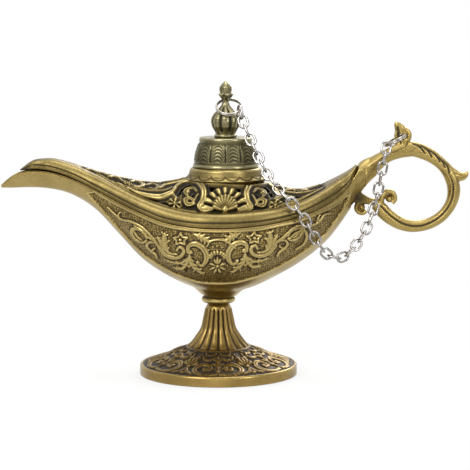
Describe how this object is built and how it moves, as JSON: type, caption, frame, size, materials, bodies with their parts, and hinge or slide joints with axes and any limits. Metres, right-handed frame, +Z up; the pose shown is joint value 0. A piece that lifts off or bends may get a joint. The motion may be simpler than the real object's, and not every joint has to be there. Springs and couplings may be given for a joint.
{
  "type": "genie oil lamp",
  "caption": "Footed oil lamp with a long spout, bowl, pierced scrollwork cover, chained cap with finial, fluted pedestal and ring handle.",
  "frame": {"origin": "centre of the pedestal's round foot, on the surface that it stands on", "axes": "+X from the spout towards the handle, +Y away from the side that shows the chain, +Z up"},
  "size_m": [0.2183, 0.074, 0.1377],
  "materials": {
    "bowl_brass": "cast, antiqued: dark brown-black recesses and worn bright highs",
    "cover_brass": "cast openwork, antiqued, bright on the raised scrolls",
    "collar_brass": "turned and polished, with an incised scalloped line",
    "cap_brass": "cast, darker olive patina, bright flange and lip",
    "finial_brass": "cast ribs, dark in the grooves",
    "handle_brass": "cast, warm gold with dark grooves",
    "pedestal_brass": "cast flutes and relief, antiqued",
    "chain_steel": "bright plated wire",
    "ring_steel": "bright plated wire",
    "fastener_steel": "zinc plated"
  },
  "bodies": {
    "lamp_body": {"hull": "bowl_brass", "handle": "handle_brass", "pedestal": "pedestal_brass", "pedestal_screw": "fastener_steel", "pedestal_washer": "fastener_steel"},
    "cover_assembly": {"cover": "cover_brass", "cover_collar": "collar_brass"},
    "cap_assembly": {"cap": "cap_brass", "finial": "finial_brass", "finial_screw": "fastener_steel", "finial_ring": "ring_steel"},
    "ring_on_handle": {"handle_ring": "ring_steel"},
    "link_01_body": {"link_01": "chain_steel"},
    "link_02_body": {"link_02": "chain_steel"},
    "link_03_body": {"link_03": "chain_steel"},
    "link_04_body": {"link_04": "chain_steel"},
    "link_05_body": {"link_05": "chain_steel"},
    "link_06_body": {"link_06": "chain_steel"},
    "link_07_body": {"link_07": "chain_steel"},
    "link_08_body": {"link_08": "chain_steel"},
    "link_09_body": {"link_09": "chain_steel"},
    "link_10_body": {"link_10": "chain_steel"},
    "link_11_body": {"link_11": "chain_steel"},
    "link_12_body": {"link_12": "chain_steel"},
    "link_13_body": {"link_13": "chain_steel"},
    "link_14_body": {"link_14": "chain_steel"},
    "link_15_body": {"link_15": "chain_steel"},
    "link_16_body": {"link_16": "chain_steel"},
    "link_17_body": {"link_17": "chain_steel"},
    "link_18_body": {"link_18": "chain_steel"},
    "link_19_body": {"link_19": "chain_steel"},
    "link_20_body": {"link_20": "chain_steel"},
    "link_21_body": {"link_21": "chain_steel"},
    "link_22_body": {"link_22": "chain_steel"},
    "link_23_body": {"link_23": "chain_steel"},
    "link_24_body": {"link_24": "chain_steel"},
    "link_25_body": {"link_25": "chain_steel"},
    "link_26_body": {"link_26": "chain_steel"},
    "link_27_body": {"link_27": "chain_steel"},
    "link_28_body": {"link_28": "chain_steel"},
    "link_29_body": {"link_29": "chain_steel"},
    "link_30_body": {"link_30": "chain_steel"},
    "link_31_body": {"link_31": "chain_steel"},
    "link_32_body": {"link_32": "chain_steel"}
  },
  "joints": [
    {"name": "cover_lift", "type": "slide", "parent": "lamp_body", "child": "cover_assembly", "axis": [0, 0, 1], "range_m": [0, 0.007]},
    {"name": "cap_lift", "type": "slide", "parent": "cover_assembly", "child": "cap_assembly", "axis": [0, 0, 1], "range_m": [0, 0.011]},
    {"name": "handle_ring_turn", "type": "hinge", "parent": "lamp_body", "child": "ring_on_handle", "pos_m": [0.0861, 0, 0.1122], "axis": [0, 1, 0], "range_deg": [-2, 29]},
    {"name": "link_01_turn", "type": "hinge", "parent": "ring_on_handle", "child": "link_01_body", "pos_m": [0.07817, -0.00556, 0.10816], "axis": [0, 1, 0], "range_deg": [-21, 2]},
    {"name": "link_02_turn", "type": "hinge", "parent": "link_01_body", "child": "link_02_body", "pos_m": [0.07757, -0.00656, 0.10513], "axis": [0, 1, 0], "range_deg": [-16, 2]},
    {"name": "link_03_turn", "type": "hinge", "parent": "link_02_body", "child": "link_03_body", "pos_m": [0.07642, -0.00755, 0.09922], "axis": [0, 1, 0], "range_deg": [-2, 20]},
    {"name": "link_04_turn", "type": "hinge", "parent": "link_03_body", "child": "link_04_body", "pos_m": [0.07576, -0.0078, 0.0958], "axis": [0, 1, 0], "range_deg": [-35, 2]},
    {"name": "link_05_turn", "type": "hinge", "parent": "link_04_body", "child": "link_05_body", "pos_m": [0.07466, -0.00815, 0.08981], "axis": [0, 1, 0], "range_deg": [-2, 28]},
    {"name": "link_06_turn", "type": "hinge", "parent": "link_05_body", "child": "link_06_body", "pos_m": [0.074, -0.00848, 0.0864], "axis": [0, 1, 0], "range_deg": [-2, 14]},
    {"name": "link_07_turn", "type": "hinge", "parent": "link_06_body", "child": "link_07_body", "pos_m": [0.07253, -0.00957, 0.08058], "axis": [0, 1, 0], "range_deg": [-16, 2]},
    {"name": "link_08_turn", "type": "hinge", "parent": "link_07_body", "child": "link_08_body", "pos_m": [0.07152, -0.01034, 0.07734], "axis": [0, 1, 0], "range_deg": [-2, 23]},
    {"name": "link_09_turn", "type": "hinge", "parent": "link_08_body", "child": "link_09_body", "pos_m": [0.06946, -0.01177, 0.07177], "axis": [0, 1, 0], "range_deg": [-9, 2]},
    {"name": "link_10_turn", "type": "hinge", "parent": "link_09_body", "child": "link_10_body", "pos_m": [0.06799, -0.01282, 0.06878], "axis": [0, 1, 0], "range_deg": [-2, 5]},
    {"name": "link_11_turn", "type": "hinge", "parent": "link_10_body", "child": "link_11_body", "pos_m": [0.06484, -0.01524, 0.06415], "axis": [0, 1, 0], "range_deg": [-2, 11]},
    {"name": "link_12_turn", "type": "hinge", "parent": "link_11_body", "child": "link_12_body", "pos_m": [0.06281, -0.01679, 0.06177], "axis": [0, 1, 0], "range_deg": [-8, 2]},
    {"name": "link_13_turn", "type": "hinge", "parent": "link_12_body", "child": "link_13_body", "pos_m": [0.05873, -0.01969, 0.0583], "axis": [0, 1, 0], "range_deg": [-2, 11]},
    {"name": "link_14_turn", "type": "hinge", "parent": "link_13_body", "child": "link_14_body", "pos_m": [0.05586, -0.02149, 0.05745], "axis": [0, 1, 0], "range_deg": [-10, 2]},
    {"name": "link_15_turn", "type": "hinge", "parent": "link_14_body", "child": "link_15_body", "pos_m": [0.05076, -0.0245, 0.05891], "axis": [0, 1, 0], "range_deg": [-4, 2]},
    {"name": "link_16_turn", "type": "hinge", "parent": "link_15_body", "child": "link_16_body", "pos_m": [0.04848, -0.02589, 0.06115], "axis": [0, 1, 0], "range_deg": [-6, 2]},
    {"name": "link_17_turn", "type": "hinge", "parent": "link_16_body", "child": "link_17_body", "pos_m": [0.04519, -0.02754, 0.06602], "axis": [0, 1, 0], "range_deg": [-18, 2]},
    {"name": "link_18_turn", "type": "hinge", "parent": "link_17_body", "child": "link_18_body", "pos_m": [0.04349, -0.02814, 0.06901], "axis": [0, 1, 0], "range_deg": [-2, 9]},
    {"name": "link_19_turn", "type": "hinge", "parent": "link_18_body", "child": "link_19_body", "pos_m": [0.04066, -0.02883, 0.07437], "axis": [0, 1, 0], "range_deg": [-12, 2]},
    {"name": "link_20_turn", "type": "hinge", "parent": "link_19_body", "child": "link_20_body", "pos_m": [0.03885, -0.02899, 0.07735], "axis": [0, 1, 0], "range_deg": [-2, 15]},
    {"name": "link_21_turn", "type": "hinge", "parent": "link_20_body", "child": "link_21_body", "pos_m": [0.03499, -0.02867, 0.08206], "axis": [0, 1, 0], "range_deg": [-8, 2]},
    {"name": "link_22_turn", "type": "hinge", "parent": "link_21_body", "child": "link_22_body", "pos_m": [0.03261, -0.02791, 0.08449], "axis": [0, 1, 0], "range_deg": [-2, 6]},
    {"name": "link_23_turn", "type": "hinge", "parent": "link_22_body", "child": "link_23_body", "pos_m": [0.0287, -0.02531, 0.08839], "axis": [0, 1, 0], "range_deg": [-2, 6]},
    {"name": "link_24_turn", "type": "hinge", "parent": "link_23_body", "child": "link_24_body", "pos_m": [0.02669, -0.02345, 0.09056], "axis": [0, 1, 0], "range_deg": [-13, 2]},
    {"name": "link_25_turn", "type": "hinge", "parent": "link_24_body", "child": "link_25_body", "pos_m": [0.02352, -0.02023, 0.09466], "axis": [0, 1, 0], "range_deg": [-2, 10]},
    {"name": "link_26_turn", "type": "hinge", "parent": "link_25_body", "child": "link_26_body", "pos_m": [0.02189, -0.0185, 0.09721], "axis": [0, 1, 0], "range_deg": [-14, 2]},
    {"name": "link_27_turn", "type": "hinge", "parent": "link_26_body", "child": "link_27_body", "pos_m": [0.01933, -0.01566, 0.10196], "axis": [0, 1, 0], "range_deg": [-2, 7]},
    {"name": "link_28_turn", "type": "hinge", "parent": "link_27_body", "child": "link_28_body", "pos_m": [0.01796, -0.01412, 0.10478], "axis": [0, 1, 0], "range_deg": [-8, 2]},
    {"name": "link_29_turn", "type": "hinge", "parent": "link_28_body", "child": "link_29_body", "pos_m": [0.0156, -0.01144, 0.10973], "axis": [0, 1, 0], "range_deg": [-2, 5]},
    {"name": "link_30_turn", "type": "hinge", "parent": "link_29_body", "child": "link_30_body", "pos_m": [0.01426, -0.00991, 0.11256], "axis": [0, 1, 0], "range_deg": [-5, 2]},
    {"name": "link_31_turn", "type": "hinge", "parent": "link_30_body", "child": "link_31_body", "pos_m": [0.01211, -0.00732, 0.11765], "axis": [0, 1, 0], "range_deg": [-7, 2]},
    {"name": "link_32_turn", "type": "hinge", "parent": "link_31_body", "child": "link_32_body", "pos_m": [0.01105, -0.00591, 0.12066], "axis": [0, 1, 0], "range_deg": [-5, 2]}
  ],
  "couplings": [
    {"joint": "handle_ring_turn", "follows": "cap_lift", "rad_per_m": 41.5},
    {"joint": "link_01_turn", "follows": "cover_lift", "rad_per_m": -47.22},
    {"joint": "link_02_turn", "follows": "cap_lift", "rad_per_m": -21.36},
    {"joint": "link_03_turn", "follows": "cover_lift", "rad_per_m": 43.2},
    {"joint": "link_04_turn", "follows": "cap_lift", "rad_per_m": -50.99},
    {"joint": "link_05_turn", "follows": "cover_lift", "rad_per_m": 63.86},
    {"joint": "link_06_turn", "follows": "cap_lift", "rad_per_m": 17.46},
    {"joint": "link_07_turn", "follows": "cover_lift", "rad_per_m": -33.05},
    {"joint": "link_08_turn", "follows": "cap_lift", "rad_per_m": 31.96},
    {"joint": "link_09_turn", "follows": "cover_lift", "rad_per_m": -15.37},
    {"joint": "link_10_turn", "follows": "cap_lift", "rad_per_m": 3.39},
    {"joint": "link_11_turn", "follows": "cover_lift", "rad_per_m": 20.07},
    {"joint": "link_12_turn", "follows": "cap_lift", "rad_per_m": -8.03},
    {"joint": "link_13_turn", "follows": "cover_lift", "rad_per_m": 20.75},
    {"joint": "link_14_turn", "follows": "cap_lift", "rad_per_m": -12.58},
    {"joint": "link_15_turn", "follows": "cover_lift", "rad_per_m": -3.81},
    {"joint": "link_16_turn", "follows": "cap_lift", "rad_per_m": -5.48},
    {"joint": "link_17_turn", "follows": "cover_lift", "rad_per_m": -37.79},
    {"joint": "link_18_turn", "follows": "cap_lift", "rad_per_m": 10.9},
    {"joint": "link_19_turn", "follows": "cover_lift", "rad_per_m": -23.46},
    {"joint": "link_20_turn", "follows": "cap_lift", "rad_per_m": 20.07},
    {"joint": "link_21_turn", "follows": "cover_lift", "rad_per_m": -13.41},
    {"joint": "link_22_turn", "follows": "cap_lift", "rad_per_m": 6.31},
    {"joint": "link_23_turn", "follows": "cover_lift", "rad_per_m": 9.55},
    {"joint": "link_24_turn", "follows": "cap_lift", "rad_per_m": -16.49},
    {"joint": "link_25_turn", "follows": "cover_lift", "rad_per_m": 18.11},
    {"joint": "link_26_turn", "follows": "cap_lift", "rad_per_m": -18.24},
    {"joint": "link_27_turn", "follows": "cover_lift", "rad_per_m": 11.66},
    {"joint": "link_28_turn", "follows": "cap_lift", "rad_per_m": -8.2},
    {"joint": "link_29_turn", "follows": "cover_lift", "rad_per_m": 5.79},
    {"joint": "link_30_turn", "follows": "cap_lift", "rad_per_m": -4.09},
    {"joint": "link_31_turn", "follows": "cover_lift", "rad_per_m": -11.67},
    {"joint": "link_32_turn", "follows": "cap_lift", "rad_per_m": -3.64}
  ]
}
